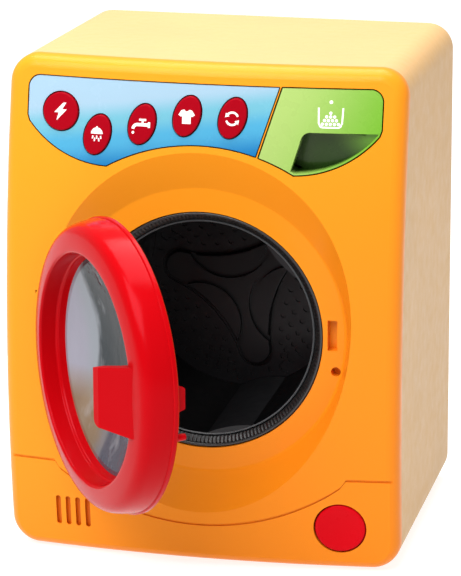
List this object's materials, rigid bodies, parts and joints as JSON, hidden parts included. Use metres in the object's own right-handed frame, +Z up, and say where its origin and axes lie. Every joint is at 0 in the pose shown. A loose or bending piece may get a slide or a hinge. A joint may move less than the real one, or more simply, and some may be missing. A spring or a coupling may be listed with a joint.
{
  "type": "toy washing machine",
  "caption": "Front-loading toy washing machine with a swinging round door, a turning drum, a pull-out detergent drawer and press buttons.",
  "frame": {"origin": "middle of the body's footprint on the surface that it stands on", "axes": "+Z up, -Y out of the front where the door is, +X to the right of someone facing the front"},
  "size_m": [0.224, 0.3119, 0.2813],
  "materials": {
    "battery_box": "moulded",
    "battery_cells": "wrapped cells",
    "battery_contacts": "spring steel",
    "battery_cover": "satin moulded plastic",
    "battery_screw": "plain steel",
    "board_screws": "plain steel",
    "case_screws": "plain steel",
    "control_board": "circuit board",
    "control_panel": "glossy, pale to deep blue",
    "door_back": "glossy",
    "door_handle": "glossy",
    "door_ring": "glossy",
    "door_window": "clear moulded bowl",
    "drawer_front": "glossy",
    "drawer_housing": "moulded",
    "drawer_tray": "moulded",
    "drive_belt": "flat belt",
    "drum_disc": "glossy black",
    "drum_lifters": "glossy black",
    "drum_pulley": "moulded",
    "drum_shaft": "ground",
    "drum_shell": "glossy black",
    "foot_button": "glossy",
    "foot_spring": "spring wire",
    "foot_switch": "circuit board",
    "front_casing": "glossy moulded plastic",
    "hinge_pin": "ground",
    "housing_screws": "plain steel",
    "keypad": "soft sheet",
    "motor": "can motor",
    "motor_pulley": "moulded",
    "motor_screws": "plain steel",
    "motor_shaft": "ground",
    "mouth_ring": "satin grey",
    "power_button": "glossy",
    "program_button_1": "glossy",
    "program_button_2": "glossy",
    "program_button_3": "glossy",
    "program_button_4": "glossy",
    "pulley_screw": "plain steel",
    "rear_shell": "satin moulded plastic",
    "rubber_feet": "soft pads",
    "shaft_bush": "plain bearing plastic",
    "speaker_cone": "paper cone",
    "speaker_frame": "moulded",
    "speaker_magnet": "plated",
    "switch_screws": "plain steel",
    "tub": "moulded",
    "tub_screws": "plain steel"
  },
  "bodies": {
    "body": {"battery_box": "battery_box", "battery_cells": "battery_cells", "battery_contacts": "battery_contacts", "battery_cover": "battery_cover", "battery_screw": "battery_screw", "board_screws": "board_screws", "case_screws": "case_screws", "control_board": "control_board", "control_panel": "control_panel", "drawer_housing": "drawer_housing", "drive_belt": "drive_belt", "foot_spring": "foot_spring", "foot_switch": "foot_switch", "front_casing": "front_casing", "hinge_pin": "hinge_pin", "housing_screws": "housing_screws", "keypad": "keypad", "motor": "motor", "motor_screws": "motor_screws", "mouth_ring": "mouth_ring", "rear_shell": "rear_shell", "rubber_feet": "rubber_feet", "shaft_bush": "shaft_bush", "speaker_cone": "speaker_cone", "speaker_frame": "speaker_frame", "speaker_magnet": "speaker_magnet", "switch_screws": "switch_screws", "tub": "tub", "tub_screws": "tub_screws"},
    "door": {"door_ring": "door_ring", "door_back": "door_back", "door_window": "door_window", "door_handle": "door_handle"},
    "drawer": {"drawer_front": "drawer_front", "drawer_tray": "drawer_tray"},
    "drum": {"drum_shell": "drum_shell", "drum_disc": "drum_disc", "drum_lifters": "drum_lifters", "drum_shaft": "drum_shaft", "drum_pulley": "drum_pulley", "pulley_screw": "pulley_screw"},
    "motor_rotor": {"motor_shaft": "motor_shaft", "motor_pulley": "motor_pulley"},
    "power_button": {"power_button": "power_button"},
    "program_button_1": {"program_button_1": "program_button_1"},
    "program_button_2": {"program_button_2": "program_button_2"},
    "program_button_3": {"program_button_3": "program_button_3"},
    "program_button_4": {"program_button_4": "program_button_4"},
    "foot_button": {"foot_button": "foot_button"}
  },
  "joints": [
    {"name": "door_hinge", "type": "hinge", "parent": "body", "child": "door", "pos_m": [-0.0887, -0.08286, 0.1323], "axis": [0, 0, -1], "range_deg": [-51.56, 53.4]},
    {"name": "drum_spin", "type": "hinge", "parent": "body", "child": "drum", "pos_m": [0, 0.03, 0.1323], "axis": [0, 1, 0], "continuous": true},
    {"name": "motor_spin", "type": "hinge", "parent": "body", "child": "motor_rotor", "pos_m": [0.0553, 0.04, 0.0664], "axis": [0, 1, 0], "continuous": true},
    {"name": "drawer_slide", "type": "slide", "parent": "body", "child": "drawer", "axis": [0, -1, 0], "range_m": [0, 0.048]},
    {"name": "power_press", "type": "slide", "parent": "body", "child": "power_button", "axis": [0, 1, 0], "range_m": [0, 0.0015], "stiffness_N_per_m": 300, "springref_m": -0.0015, "deforming": ["keypad"]},
    {"name": "program_press_1", "type": "slide", "parent": "body", "child": "program_button_1", "axis": [0, 1, 0], "range_m": [0, 0.0015], "stiffness_N_per_m": 300, "springref_m": -0.0015, "deforming": ["keypad"]},
    {"name": "program_press_2", "type": "slide", "parent": "body", "child": "program_button_2", "axis": [0, 1, 0], "range_m": [0, 0.0015], "stiffness_N_per_m": 300, "springref_m": -0.0015, "deforming": ["keypad"]},
    {"name": "program_press_3", "type": "slide", "parent": "body", "child": "program_button_3", "axis": [0, 1, 0], "range_m": [0, 0.0015], "stiffness_N_per_m": 300, "springref_m": -0.0015, "deforming": ["keypad"]},
    {"name": "program_press_4", "type": "slide", "parent": "body", "child": "program_button_4", "axis": [0, 1, 0], "range_m": [0, 0.0015], "stiffness_N_per_m": 300, "springref_m": -0.0015, "deforming": ["keypad"]},
    {"name": "foot_press", "type": "slide", "parent": "body", "child": "foot_button", "axis": [0, 1, 0], "range_m": [0, 0.0015], "stiffness_N_per_m": 300, "springref_m": -0.0015, "deforming": ["foot_spring"]}
  ],
  "couplings": [
    {"joint": "motor_spin", "follows": "drum_spin", "ratio": 6}
  ]
}
